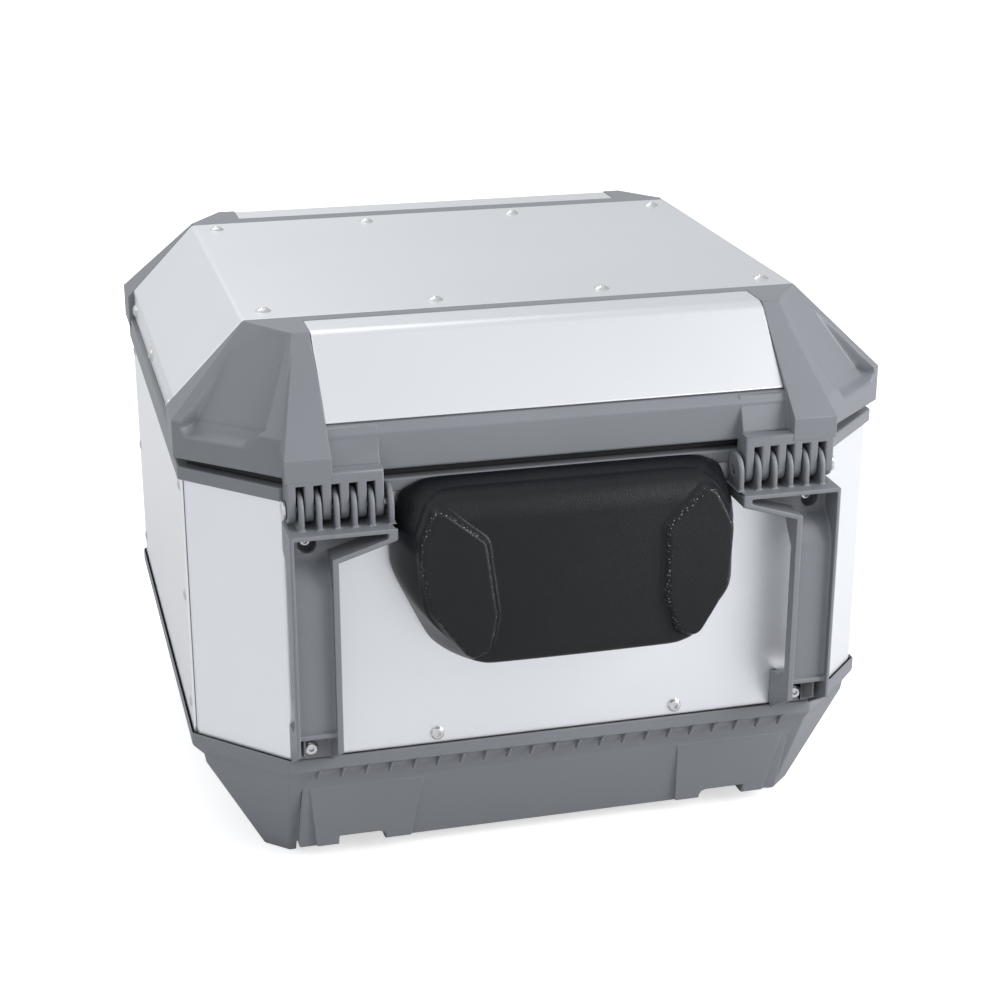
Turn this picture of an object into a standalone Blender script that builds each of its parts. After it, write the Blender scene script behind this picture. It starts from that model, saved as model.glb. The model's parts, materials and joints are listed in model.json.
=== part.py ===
# Hard motorcycle case with folded sheet walls, moulded corners, a hinged lid and a passenger pad.
# Metres, +Z up. The origin is the middle of the base plate's underside and the hinge side is -Y.
# Shapes are laid out in millimetres and scaled once, when each mesh is made.

import math

import bmesh
import bpy
from mathutils import Matrix, Vector

MM = 0.001
GAP = 0.3  # clearance between pieces that touch

HALF_WIDTH = 222.5  # outside of the side walls
HALF_DEPTH = 210.5  # outside of the front and rear walls
CORNER_SUM = 380.8  # x + y along the 45 degree corner facet
SHEET = 1.5

TRAY_TOP = 88.0
TRAY_LIP = 2.0  # how far the plastic stands out past the sheet
FLOOR_TOP = 25.0
FLOOR_UNDER = 22.0
SKIRT_BOTTOM = 9.0
FOOT_X = 162.5
FOOT_Y = 118.0
WALL_LOW = 80.8
WALL_HIGH = 257.2
RIM_LOW = 257.5
RIM_HIGH = 266.0

LID_TOP = 345.6
LID_FOLD = 300.0
LID_HALF_TOP = 178.0
LID_HALF_SIDE = 222.3
SHEET_FRONT = -131.2
SHEET_REAR = 127.2
BAND_TOP = 296.0
BAND_LOW = 273.0
INSERT_HALF = 142.3  # the metal inserts in the lid's front and rear slopes

PIN_Y = -221.0
PIN_Z = 255.5
PIN_RADIUS = 2.75
PIN_BORE = 3.1
KNUCKLE_RADIUS = 8.0
EAR_RADIUS = 12.0
COMB_FACE = -228.8
COMB_LOW = 271.5
COMB_START = 112.0
COMB_END = 169.0
EAR_PITCH = 10.4
FIRST_EAR = 119.7
EAR_COUNT = 5
EAR_THICK = 3.1
SLOT_WIDTH = 4.9

BRACKET_INNER = 106.6
BRACKET_OUTER = 170.2
ARM_INNER = 142.1
BRACKET_FACE = -241.5
BRACKET_BACK = -HALF_DEPTH - GAP
ARM_BACK = -233.5
ARM_FLOOR = -236.0

PLATE_X = 129.0
PLATE_Y = 109.0
PLATE_THICK = 2.7
CATCH_WINDOW = (13.0, 54.0, 90.0)  # half width, front and rear of the opening in the base plate

LATCH_Y = 229.5
LATCH_Z = 218.0
KEY_Z = 197.0

PLASTIC = {"color": (0.165, 0.175, 0.190), "roughness": 0.55, "metallic": 0.0}
ALUMINIUM = {"color": (0.80, 0.81, 0.83), "roughness": 0.35, "metallic": 1.0}
STEEL = {"color": (0.62, 0.62, 0.63), "roughness": 0.25, "metallic": 1.0}
BLACK = {"color": (0.020, 0.020, 0.022), "roughness": 0.50, "metallic": 0.0}
RUBBER = {"color": (0.015, 0.015, 0.016), "roughness": 0.85, "metallic": 0.0}
FOAM = {"color": (0.050, 0.050, 0.052), "roughness": 0.95, "metallic": 0.0}
RED = {"color": (0.35, 0.02, 0.02), "roughness": 0.45, "metallic": 0.0}

for stale in list(bpy.data.objects):
    bpy.data.objects.remove(stale, do_unlink=True)

case = bpy.data.collections.new("hard_case")
helpers = bpy.data.collections.new("cutters")
bpy.context.scene.collection.children.link(case)
bpy.context.scene.collection.children.link(helpers)


def paint(item, look):
    finish = bpy.data.materials.new(item.name + "_finish")
    finish.use_nodes = True
    shader = finish.node_tree.nodes["Principled BSDF"]
    shader.inputs["Base Color"].default_value = (*look["color"], 1.0)
    shader.inputs["Roughness"].default_value = look["roughness"]
    shader.inputs["Metallic"].default_value = look["metallic"]
    item.data.materials.append(finish)


def make(name, bm, look=None):
    """Turns the millimetre mesh into an object: a piece if it has a look, a hidden helper if not."""
    bmesh.ops.recalc_face_normals(bm, faces=bm.faces)
    bmesh.ops.scale(bm, vec=(MM, MM, MM), verts=bm.verts)
    mesh = bpy.data.meshes.new(name)
    bm.to_mesh(mesh)
    bm.free()
    item = bpy.data.objects.new(name, mesh)
    if look:
        case.objects.link(item)
        paint(item, look)
    else:
        helpers.objects.link(item)
        item.hide_render = True
        item.display_type = "WIRE"
    return item


def combine(target, operation, *tools):
    for tool in tools:
        step = target.modifiers.new(tool.name, "BOOLEAN")
        step.operation = operation
        step.solver = "EXACT"
        step.object = tool


def join(target, *tools):
    combine(target, "UNION", *tools)


def cut(target, *tools):
    combine(target, "DIFFERENCE", *tools)


def add_prism(bm, outline, axis, low, high):
    """Extrudes an outline along one axis. Its points are the other two coordinates, in x, y, z order."""
    along = "xyz".index(axis)
    across = [i for i in range(3) if i != along]
    verts = []
    for pair in outline:
        point = Vector((0.0, 0.0, 0.0))
        point[across[0]], point[across[1]] = pair
        point[along] = low
        verts.append(bm.verts.new(point))
    face = bm.faces.new(verts)
    grown = bmesh.ops.extrude_face_region(bm, geom=[face])["geom"]
    shift = Vector((0.0, 0.0, 0.0))
    shift[along] = high - low
    bmesh.ops.translate(bm, vec=shift, verts=[v for v in grown if isinstance(v, bmesh.types.BMVert)])


def prism(name, outline, axis, low, high, look=None):
    bm = bmesh.new()
    add_prism(bm, outline, axis, low, high)
    return make(name, bm, look)


def add_box(bm, low, high):
    size = Vector(high) - Vector(low)
    middle = (Vector(high) + Vector(low)) / 2
    place = Matrix.Translation(middle) @ Matrix.Diagonal((*size, 1.0))
    bmesh.ops.create_cube(bm, size=1.0, matrix=place)


def boxes(name, spans, look=None):
    bm = bmesh.new()
    for low, high in spans:
        add_box(bm, low, high)
    return make(name, bm, look)


def add_cylinder(bm, axis, middle, radius, length, sides):
    turn = {
        "x": Matrix.Rotation(math.radians(90), 4, "Y"),
        "y": Matrix.Rotation(math.radians(90), 4, "X"),
        "z": Matrix.Identity(4),
    }[axis]
    bmesh.ops.create_cone(
        bm,
        cap_ends=True,
        segments=sides,
        radius1=radius,
        radius2=radius,
        depth=length,
        matrix=Matrix.Translation(middle) @ turn,
    )


def cylinders(name, axis, middles, radius, length, sides=16, look=None):
    bm = bmesh.new()
    for middle in middles:
        add_cylinder(bm, axis, middle, radius, length, sides)
    return make(name, bm, look)


def hull(name, points, look=None):
    bm = bmesh.new()
    for point in points:
        bm.verts.new(point)
    bmesh.ops.convex_hull(bm, input=bm.verts)
    return make(name, bm, look)


def eight(half_x, corner_y, corner_x, half_y):
    """The octagon with corners at (half_x, corner_y) and (corner_x, half_y), mirrored both ways."""
    quarter = [(half_x, corner_y), (corner_x, half_y)]
    ring = list(quarter)
    ring += [(-x, y) for x, y in reversed(quarter)]
    ring += [(-x, -y) for x, y in quarter]
    ring += [(x, -y) for x, y in reversed(quarter)]
    return ring


def octagon(offset):
    """The walls' outline moved outward by offset, with its 45 degree facets kept parallel."""
    half_x = HALF_WIDTH + offset
    half_y = HALF_DEPTH + offset
    facet = CORNER_SUM + offset * math.sqrt(2)
    return eight(half_x, facet - half_x, facet - half_y, half_y)


def loft(name, sections, look=None):
    """A solid through rings of equal count, each given as its height and its outline."""
    bm = bmesh.new()
    rings = [[bm.verts.new((x, y, z)) for x, y in ring] for z, ring in sections]
    count = len(rings[0])
    for below, above in zip(rings, rings[1:]):
        for i in range(count):
            j = (i + 1) % count
            bm.faces.new((below[i], below[j], above[j], above[i]))
    bm.faces.new(list(reversed(rings[0])))
    bm.faces.new(rings[-1])
    return make(name, bm, look)


def ring(name, profile, look=None):
    """A closed band round the octagon. The profile is a loop of offset and height pairs."""
    bm = bmesh.new()
    rings = [[bm.verts.new((x, y, z)) for x, y in octagon(offset)] for offset, z in profile]
    for i, this in enumerate(rings):
        after = rings[(i + 1) % len(rings)]
        for j in range(8):
            k = (j + 1) % 8
            bm.faces.new((this[j], this[k], after[k], after[j]))
    return make(name, bm, look)


def arc(middle, radius, start, end, steps):
    """Points on a circle from start to end degrees, both included."""
    points = []
    for i in range(steps + 1):
        angle = math.radians(start + (end - start) * i / steps)
        points.append((middle[0] + radius * math.cos(angle), middle[1] + radius * math.sin(angle)))
    return points


def rounded(points, radius, steps):
    """The open path with each inner corner turned into an arc that touches both of its sides."""
    path = [points[0]]
    for before, corner, after in zip(points, points[1:], points[2:]):
        back = (Vector(before) - Vector(corner)).normalized()
        ahead = (Vector(after) - Vector(corner)).normalized()
        half = back.angle(ahead) / 2
        middle = Vector(corner) + (back + ahead).normalized() * radius / math.sin(half)
        reach = radius / math.tan(half)
        first = Vector(corner) + back * reach - middle
        last = Vector(corner) + ahead * reach - middle
        sweep = first.angle_signed(last)
        for i in range(steps + 1):
            spoke = Matrix.Rotation(-sweep * i / steps, 2) @ first
            path.append(tuple(middle + spoke))
    path.append(points[-1])
    return path


def inward(points, distance):
    """The open path's corners moved square to both sides, towards the left of its direction."""
    moved = []
    for i, point in enumerate(points):
        sides = []
        if i > 0:
            sides.append((Vector(point) - Vector(points[i - 1])).normalized())
        if i < len(points) - 1:
            sides.append((Vector(points[i + 1]) - Vector(point)).normalized())
        normals = [Vector((-side.y, side.x)) for side in sides]
        mean = sum(normals, Vector((0.0, 0.0))).normalized()
        moved.append(tuple(Vector(point) + mean * distance / mean.dot(normals[0])))
    return moved


def bent_sheet(name, path, radius, axis, low, high, look):
    """A sheet folded along a path of its outer corners, which runs with the material on its left."""
    outer = rounded(path, radius, 4)
    inner = rounded(inward(path, SHEET), radius - SHEET, 4)
    return prism(name, outer + inner[::-1], axis, low, high, look)


def fastener(name, head_radius, head_height, shank_radius, shank_length, place, outward, look):
    """A domed head and its shank, turned about Z and then swung to point outward."""
    dome = []
    for i in range(4):
        angle = math.radians(90) * i / 3
        dome.append((head_radius * math.sin(angle), head_height * math.cos(angle)))
    profile = dome + [(shank_radius, 0.0), (shank_radius, -shank_length), (0.0, -shank_length)]
    mesh = bpy.data.meshes.new(name)
    points = [(x * MM, 0.0, z * MM) for x, z in profile]
    mesh.from_pydata(points, [(i, i + 1) for i in range(len(points) - 1)], [])
    item = bpy.data.objects.new(name, mesh)
    case.objects.link(item)
    item.location = Vector(place) * MM
    item.rotation_euler = Vector((0.0, 0.0, 1.0)).rotation_difference(Vector(outward)).to_euler()
    turn = item.modifiers.new("turned", "SCREW")
    turn.steps = 12
    turn.render_steps = 12
    turn.use_merge_vertices = True
    turn.merge_threshold = 0.00001
    paint(item, look)
    return item


def axis_empty(name, place):
    empty = bpy.data.objects.new(name, None)
    empty.location = Vector(place) * MM
    case.objects.link(empty)
    return empty


def carry(empty, *items):
    for item in items:
        item.parent = empty
        item.matrix_parent_inverse = Matrix.Translation(-empty.location)


def base_tray():
    """The moulded base: a tapering tub, its feet, the socket for the walls and the release frame."""
    tray = loft(
        "base_tray",
        [
            (0.0, eight(181.0, 155.0, 167.0, 168.0)),
            (66.0, eight(216.4, 160.0, 170.3, 203.0)),
            (72.0, eight(217.4, 160.0, 170.5, 206.0)),
            (79.0, octagon(TRAY_LIP)),
            (TRAY_TOP, octagon(TRAY_LIP)),
        ],
        PLASTIC,
    )
    # The slanted middle of the skirt stands out past the corner posts.
    wedge = [
        (201.5, 63.5), (200.0, 58.2), (182.0, SKIRT_BOTTOM),
        (170.0, SKIRT_BOTTOM), (176.0, 22.0), (197.5, 60.0),
    ]
    for side, label in ((-1, "front"), (1, "rear")):
        join(tray, prism(label + "_skirt", [(side * y, z) for y, z in wedge], "x", -FOOT_X, FOOT_X))
    for side, label in ((-1, "left"), (1, "right")):
        join(tray, guide_plate(label, side))
    inside = loft(
        "tray_inside",
        [
            (FLOOR_TOP, eight(190.4, 154.9, 166.3, 177.3)),
            (66.0, eight(212.4, 158.0, 168.3, 199.0)),
            (72.0, eight(213.4, 158.0, 168.5, 202.0)),
            (79.0, octagon(-6.5)),
            (TRAY_TOP + 3, octagon(-6.5)),
        ],
    )
    underside = loft(
        "tray_underside",
        [(-2.0, eight(176.5, 151.5, 164.0, 163.5)), (FLOOR_UNDER, eight(188.0, 154.0, 165.0, 175.5))],
    )
    socket_top = TRAY_TOP + 1
    socket_low = WALL_LOW - GAP
    socket_outline = [(GAP, socket_low), (GAP, socket_top), (-3.6, socket_top), (-3.6, socket_low)]
    socket = ring("wall_socket", socket_outline)
    cut(tray, inside, underside, socket, skirt_gaps(), rib_gaps(), hook_notches())
    frame_low = PLATE_THICK + GAP
    frame = boxes("release_frame", [((-PLATE_X, -PLATE_Y, frame_low), (PLATE_X, PLATE_Y, FLOOR_UNDER + 1))])
    join(tray, frame)
    wall = 3.7
    room_low = (wall - PLATE_X, wall - PLATE_Y, -1)
    room_high = (PLATE_X - wall, PLATE_Y - wall, FLOOR_UNDER)
    room = boxes("release_room", [(room_low, room_high)])
    rod_slot = boxes("rod_slot", [((-8, PLATE_Y - 8, 6), (8, PLATE_Y + 4, 16))])
    button_window = boxes("button_window", [((-17.3, 160, 10.3), (17.3, 195, 18.7))])
    cut(tray, room, rod_slot, button_window)
    return tray


def guide_plate(label, side):
    """A raised trapezoid on the front skirt: flush at the top and proud of it at the bottom."""
    points = []
    raised_plates = ((84.5, 157.5, 60.0, -197.2, -200.9), (90.0, 151.5, 9.6, -175.0, -185.2))
    for inner, outer, z, back, face in raised_plates:
        for x in (inner, outer):
            points += [(side * x, back, z), (side * x, face, z)]
    return hull(label + "_guide_plate", points)


def skirt_gaps():
    """Leaves only the four corner feet on the ground."""
    spans = []
    for side in (-1, 1):
        near_y, far_y = sorted((side * 130, side * 250))
        spans.append(((-FOOT_X, near_y, -1), (FOOT_X, far_y, SKIRT_BOTTOM)))
        near_x, far_x = sorted((side * 150, side * 250))
        spans.append(((near_x, -FOOT_Y, -1), (far_x, FOOT_Y, SKIRT_BOTTOM)))
    return boxes("skirt_gaps", spans)


def rib_gaps():
    """The pockets between the short upright ribs below the tray's lip, front and rear."""
    pitch = 15.2
    rib = 1.6
    spans = []
    for side in (-1, 1):
        face = sorted((side * 209.0, side * 215.0))
        for i in range(-10, 10):
            middle = (i + 0.5) * pitch
            half = (pitch - rib) / 2
            spans.append(((middle - half, face[0], 71.5), (middle + half, face[1], 79.3)))
    return boxes("rib_gaps", spans)


def hook_notches():
    """Two slots in the front skirt that the rack's hooks enter."""
    bm = bmesh.new()
    notch = [(107.0, -1.0), (137.0, -1.0), (137.0, 16.5), (111.0, 16.5), (108.2, 15.3), (107.0, 12.5)]
    for side in (-1, 1):
        add_prism(bm, [(side * x, z) for x, z in notch], "y", -190.0, -150.0)
    return make("hook_notches", bm)


def base_plate():
    """Closes the release mechanism from below. Its rails guide the catch."""
    plate = boxes("base_plate", [((-PLATE_X, -PLATE_Y, 0), (PLATE_X, PLATE_Y, PLATE_THICK))], BLACK)
    for side, label in ((-1, "left"), (1, "right")):
        rail = [(17.5, 2.0), (26.0, 2.0), (26.0, 16.0), (22.6, 16.0), (22.6, 7.7), (17.5, 7.7)]
        join(plate, prism(label + "_catch_rail", [(side * x, z) for x, z in rail], "y", 32.0, 103.0))
    half, front, rear = CATCH_WINDOW
    cut(plate, boxes("catch_window", [((-half, front, -1), (half, rear, 4))]))
    return plate


def walls():
    """Front and rear sheets wrap the corner facets and are riveted inside the two side sheets."""
    flange = HALF_WIDTH - SHEET - GAP
    facet_y = CORNER_SUM - flange
    facet_x = CORNER_SUM - HALF_DEPTH
    front = [
        (-flange, -143.0),
        (-flange, -facet_y),
        (-facet_x, -HALF_DEPTH),
        (facet_x, -HALF_DEPTH),
        (flange, -facet_y),
        (flange, -143.0),
    ]
    rear = [(-x, -y) for x, y in front]
    front_wall = bent_sheet("front_wall", front, 5.0, "z", WALL_LOW, WALL_HIGH, ALUMINIUM)
    bent_sheet("rear_wall", rear, 5.0, "z", WALL_LOW, WALL_HIGH, ALUMINIUM)
    places = [(s * 157.6, -208, 233.5) for s in (-1, 1)]
    places += [(s * 157.9, -208, 96.7) for s in (-1, 1)]
    places += [(s * 77.7, -208, 94.7) for s in (-1, 1)]
    cut(front_wall, cylinders("wall_screw_holes", "y", places, 2.8, 12.0, 12))
    for side, name in ((-1, "left_wall"), (1, "right_wall")):
        face = sorted((side * HALF_WIDTH, side * (HALF_WIDTH - SHEET)))
        boxes(name, [((face[0], -156.5, WALL_LOW), (face[1], 156.5, WALL_HIGH))], ALUMINIUM)


def body_rim():
    """The plastic edge on top of the walls, with a leg down inside them."""
    lip = TRAY_LIP
    profile = [(lip, RIM_LOW), (lip, RIM_HIGH), (-8, RIM_HIGH), (-8, 247), (-3.8, 247), (-3.8, RIM_LOW)]
    return ring("body_rim", profile, PLASTIC)


def hinge_bracket(side, label):
    """Carries the hinge pin above and stands off the wall in a long channel below."""

    def slab(name, outline, low, high):
        span = sorted((side * low, side * high))
        return prism(label + "_" + name, outline, "x", *span)

    side_wall = [
        (BRACKET_BACK, 88.6),
        (-212.9, 88.6),
        (-213.5, 86.5),
        (BRACKET_FACE, 104.0),
        (BRACKET_FACE, 245.2),
        (BRACKET_BACK, 245.2),
        (BRACKET_BACK, 227.0),
        (-221.0, 223.5),
        (ARM_BACK, 207.0),
        (ARM_BACK, 122.0),
        (-226.0, 114.0),
        (BRACKET_BACK, 112.0),
    ]
    span = sorted((side * 168.0, side * BRACKET_OUTER))
    bracket = prism(label + "_hinge_bracket", side_wall, "x", *span, PLASTIC)
    inner_wall = slab("inner_wall", side_wall, ARM_INNER, ARM_INNER + 3.5)
    channel = [(ARM_BACK + 0.2, 113.0), (ARM_FLOOR, 113.0), (ARM_FLOOR, 206.0)]
    channel += [(-235.0, 211.0), (-232.2, 216.5), (-228.0, 221.5), (-223.2, 226.0), (-218.0, 226.0)]
    channel += [(-224.5, 219.0), (-229.7, 213.0), (ARM_BACK + 0.2, 206.0)]
    floor = slab("channel", channel, ARM_INNER + 1, BRACKET_OUTER - 1)
    shelf_outline = [(-225.5, 113.5), (-238.5, 113.5), (-238.5, 117.0), (-225.5, 117.0)]
    shelf = slab("shelf", shelf_outline, ARM_INNER + 1, BRACKET_OUTER - 1)
    foot_back = BRACKET_BACK - 0.1
    foot_outline = [(foot_back, 89.0), (-214.5, 89.0), (-214.5, 111.5), (foot_back, 111.5)]
    foot = slab("foot", foot_outline, ARM_INNER + 1, BRACKET_OUTER - 1)
    rib = slab("foot_rib", [(-213.5, 90.0), (-231.0, 99.5), (-231.0, 114.5), (-213.5, 110.5)], 163.4, 165.0)
    join(bracket, inner_wall, floor, shelf, foot, rib)

    # The head is a thick block with a raised edge round a sunk triangular face.
    head = [(BRACKET_INNER, 238.0), (BRACKET_INNER, 245.5), (169.0, 245.5), (169.0, 226.6), (143.0, 226.6)]
    head_outline = [(side * x, z) for x, z in head]
    block = prism(label + "_head", head_outline, "y", BRACKET_FACE + 0.1, BRACKET_BACK - 0.1)
    inset = [(112.5, 239.6), (112.5, 243.0), (167.9, 243.0), (167.9, 220.0), (145.7, 220.0), (145.7, 229.4)]
    sunk = prism(label + "_sunk_face", [(side * x, z) for x, z in inset], "y", BRACKET_FACE - 2, -223.0)
    join(bracket, block)
    cut(bracket, sunk)

    # The knuckle ears share one outline. The innermost one is thicker and carries the pin's end.
    back = -213.2
    half_chord = math.sqrt(EAR_RADIUS**2 - (PIN_Y - back) ** 2)
    start = math.degrees(math.atan2(half_chord, back - PIN_Y))
    ear = [(back, 243.5)] + arc((PIN_Y, PIN_Z), EAR_RADIUS, start, 180.0, 9) + [(PIN_Y - EAR_RADIUS, 243.5)]
    join(bracket, slab("end_ear", ear, BRACKET_INNER + 0.1, 110.0))
    for i in range(EAR_COUNT):
        middle = FIRST_EAR + i * EAR_PITCH
        join(bracket, slab(f"ear_{i + 1}", ear, middle - EAR_THICK / 2, middle + EAR_THICK / 2))
    cut(bracket, cylinders(label + "_pin_bore", "x", [(side * 138, PIN_Y, PIN_Z)], PIN_BORE, 80, 20))
    well = cylinders(label + "_screw_well", "y", [(side * 157.6, -224.5, 233.5)], 5.5, 19.8, 20)
    holes = cylinders(
        label + "_screw_holes", "y", [(side * 157.6, -214, 233.5), (side * 157.9, -213, 96.7)], 2.8, 12.0, 12
    )
    cut(bracket, well, holes)
    return bracket


def hinge_pin(side, label):
    """A steel pin with a wide outer end."""
    middle = side * (107.2 + 169.8) / 2
    pin = cylinders(label + "_hinge_pin", "x", [(middle, PIN_Y, PIN_Z)], PIN_RADIUS, 62.6, 20, STEEL)
    join(pin, cylinders(label + "_pin_head", "x", [(side * 170.3, PIN_Y, PIN_Z)], 6.0, 2.0, 20))
    return pin


def lid_frame():
    """The inner ring that stiffens the lid's edge, with a rail under each side flange."""
    profile = [(-3.5, 269.8), (-3.5, 274.5), (-1, 274.5), (-1, 278), (-14, 278), (-14, 269.8)]
    frame = ring("lid_frame", profile, PLASTIC)
    for side, label in ((-1, "left"), (1, "right")):
        span = sorted((side * 218.4, side * (HALF_WIDTH + 3)))
        join(frame, boxes(label + "_rail", [((span[0], SHEET_FRONT, 268.6), (span[1], SHEET_REAR, 279.4))]))
    return frame


def lid_cap(side, label):
    """A moulded end of the lid: open below, with room for the sheet, an insert and two corner pockets."""
    edge = SHEET_FRONT if side < 0 else SHEET_REAR
    edge += side * GAP

    top = (177.5, 133.2, 153.6, 166.5)
    band = (226.5, 162.5, 168.5, 214.5)
    levels = ((BAND_LOW, band), (BAND_TOP, band), (LID_TOP, top))
    cap = hull(label, [(x, y, z) for z, corners in levels for x, y in eight(*corners)], PLASTIC)
    hollow = loft(
        label + "_hollow",
        [
            (BAND_LOW - 4, octagon(-0.6)),
            (280.4, octagon(-0.6)),
            (281.0, eight(221.9, 146.0, 152.0, 209.9)),
            (BAND_TOP, eight(221.9, 146.0, 152.0, 209.9)),
            (LID_TOP - 3.8, eight(173.4, 118.0, 138.0, 162.3)),
        ],
    )
    reach = side * 400
    beyond = sorted((edge, edge - reach))
    cut(cap, hollow, boxes(label + "_half", [((-300, beyond[0], 200), (300, beyond[1], 400))]))

    # The flange under the sheet, which the rivets hold.
    under = 3.0
    low = 281.0
    outer = [(220.2, low), (220.2, LID_FOLD - 0.8), (176.8, LID_TOP - 2.1)]
    inner = [(220.2 - under, low), (220.2 - under, LID_FOLD - 2.0), (176.8 - 1.2, LID_TOP - 2.1 - under)]
    arch = outer + [(-x, z) for x, z in reversed(outer)] + [(-x, z) for x, z in inner] + inner[::-1]
    span = sorted((edge + side * 4, edge - side * 33))
    join(cap, prism(label + "_flange", arch, "y", *span))

    # The seat for the metal insert: a shallow step across the top and down the slope.
    seat = [(140.6, 348.0), (140.6, 343.5), (161.0, 343.5), (164.5, 342.8), (168.0, 340.8)]
    seat += [(208.5, 299.8), (212.6, 303.9), (170.0, 348.0)]
    seat_outline = [(side * y, z) for y, z in seat]
    cut(cap, prism(label + "_insert_seat", seat_outline, "x", -INSERT_HALF - GAP, INSERT_HALF + GAP))
    for across in (-1, 1):
        cut(cap, corner_pocket(label, side, across))
    holes = [(x, edge - side * 18, LID_TOP - 4) for x in (-162.5, -54.4, 54.4, 162.5)]
    cut(cap, cylinders(label + "_rivet_holes", "z", holes, 2.7, 12.0, 12))
    return cap


def corner_pocket(label, side, across):
    """A trapezoid scoop in a corner facet, shallow at the top and deep above the band."""
    corners = [
        Vector((across * 177.5, side * 133.2, LID_TOP)),
        Vector((across * 153.6, side * 166.5, LID_TOP)),
        Vector((across * 168.5, side * 214.5, BAND_TOP)),
        Vector((across * 226.5, side * 162.5, BAND_TOP)),
    ]
    normal = (corners[3] - corners[0]).cross(corners[1] - corners[0]).normalized()
    if normal.z < 0:
        normal = -normal
    points = []
    # Each row: how far across from the hip edge, how far down from the top, and how deep.
    floor = ((0.17, 0.06, 1.2), (0.84, 0.06, 1.2), (0.88, 0.80, 7.0), (0.76, 0.93, 8.5), (0.12, 0.93, 8.5))
    for u, v, depth in floor:
        upper = corners[0].lerp(corners[1], u)
        lower = corners[3].lerp(corners[2], u)
        spot = upper.lerp(lower, v)
        points += [spot - normal * depth, spot + normal * 8.0]
    return hull(f"{label}_pocket_{'left' if across < 0 else 'right'}", points)


def hinge_comb(cap, side, label):
    """The thick block, pillar and fingers that hang the lid on its pin."""

    def slab(name, outline, low, high):
        span = sorted((side * low, side * high))
        return prism(label + "_" + name, outline, "x", *span)

    knuckle = arc((PIN_Y, PIN_Z), KNUCKLE_RADIUS, 180.0, 360.0, 8)
    comb = [(-211.5, 274.0), (-211.5, 278.4), (COMB_FACE, 278.4)]
    comb += knuckle + [(PIN_Y + KNUCKLE_RADIUS, 270.5)]
    tilt = [
        (-211.0, 276.5), (-219.6, 276.5), (-220.5, 279.5), (-212.0, 300.0), (-207.6, 300.0), (-211.0, 294.0),
    ]
    points = []
    for x in (142.5, 170.0):
        comb_front = COMB_FACE - 0.2
        points += [(side * x, comb_front, 287.8), (side * x, comb_front, 286.0), (side * x, -212.0, 292.5)]
    for x in (142.5, 153.0):
        points += [(side * x, -167.5, 343.4), (side * x, -166.8, 342.8)]
    post = [(COMB_FACE - 0.2, 274.0), (COMB_FACE - 0.2, 287.8), (-212.0, 292.5), (-212.0, 274.0)]
    join(cap, slab("comb", comb, COMB_START, COMB_END))
    join(cap, slab("post", post, 142.3, 170.1), hull(label + "_pillar", points))
    join(cap, slab("recess_floor", tilt, COMB_START + 0.4, 143.5))
    slots = []
    for i in range(EAR_COUNT):
        middle = side * (FIRST_EAR + i * EAR_PITCH)
        slots.append(((middle - SLOT_WIDTH / 2, -235, 240), (middle + SLOT_WIDTH / 2, -205, COMB_LOW)))
    cut(cap, boxes(label + "_slots", slots))
    cut(cap, cylinders(label + "_lid_bore", "x", [(side * 140, PIN_Y, PIN_Z)], PIN_BORE, 70, 20))


def lid_sheet():
    """The top skin: flat, folded down both slopes and down a short riveted flange."""
    path = [
        (LID_HALF_SIDE, 280.0),
        (LID_HALF_SIDE, LID_FOLD),
        (LID_HALF_TOP, LID_TOP),
        (-LID_HALF_TOP, LID_TOP),
        (-LID_HALF_SIDE, LID_FOLD),
        (-LID_HALF_SIDE, 280.0),
    ]
    sheet = bent_sheet("lid_sheet", path, 4.0, "y", SHEET_FRONT, SHEET_REAR, ALUMINIUM)
    rivet_rows = (SHEET_FRONT + 17.7, SHEET_REAR - 17.7)
    holes = [(x, y, LID_TOP - 2) for x in (-162.5, -54.4, 54.4, 162.5) for y in rivet_rows]
    cut(sheet, cylinders("sheet_rivet_holes", "z", holes, 2.7, 10.0, 12))
    return sheet


def lid_insert(side, label):
    """The bare metal panel set in a cap: a short flat, a bend and the slope."""
    path = [(141.0, LID_TOP - 0.2), (166.8, LID_TOP - 0.2), (208.9, 302.0)]
    outer = rounded(path, 12.0, 5)
    inner = rounded([(141.0, LID_TOP - 1.6), (166.2, LID_TOP - 1.6), (207.9, 301.0)], 10.6, 5)
    outline = [(side * y, z) for y, z in outer + inner[::-1]]
    return prism(label, outline, "x", -INSERT_HALF, INSERT_HALF, ALUMINIUM)


def backrest():
    """The passenger pad and the stiff plate behind it."""
    back_y = BRACKET_BACK
    plate_face = back_y - 2.7
    boxes("pad_backing_plate", [((-74, plate_face, 168), (74, back_y, 252))], BLACK)
    behind = plate_face - GAP
    points = []
    rear_outline = [(90, 264.8), (103, 254), (106, 232), (104.3, 204), (80, 160), (66, 152)]
    front_outline = [
        (84, -246.5, 259), (95.7, -252.5, 238.5), (92, -262, 196), (66, -269.5, 171), (58, -268, 163),
    ]
    for side in (-1, 1):
        points += [(side * x, behind, z) for x, z in rear_outline]
        points += [(side * x, y, z) for x, y, z in front_outline]
    return hull("backrest_pad", points, BLACK)


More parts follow.
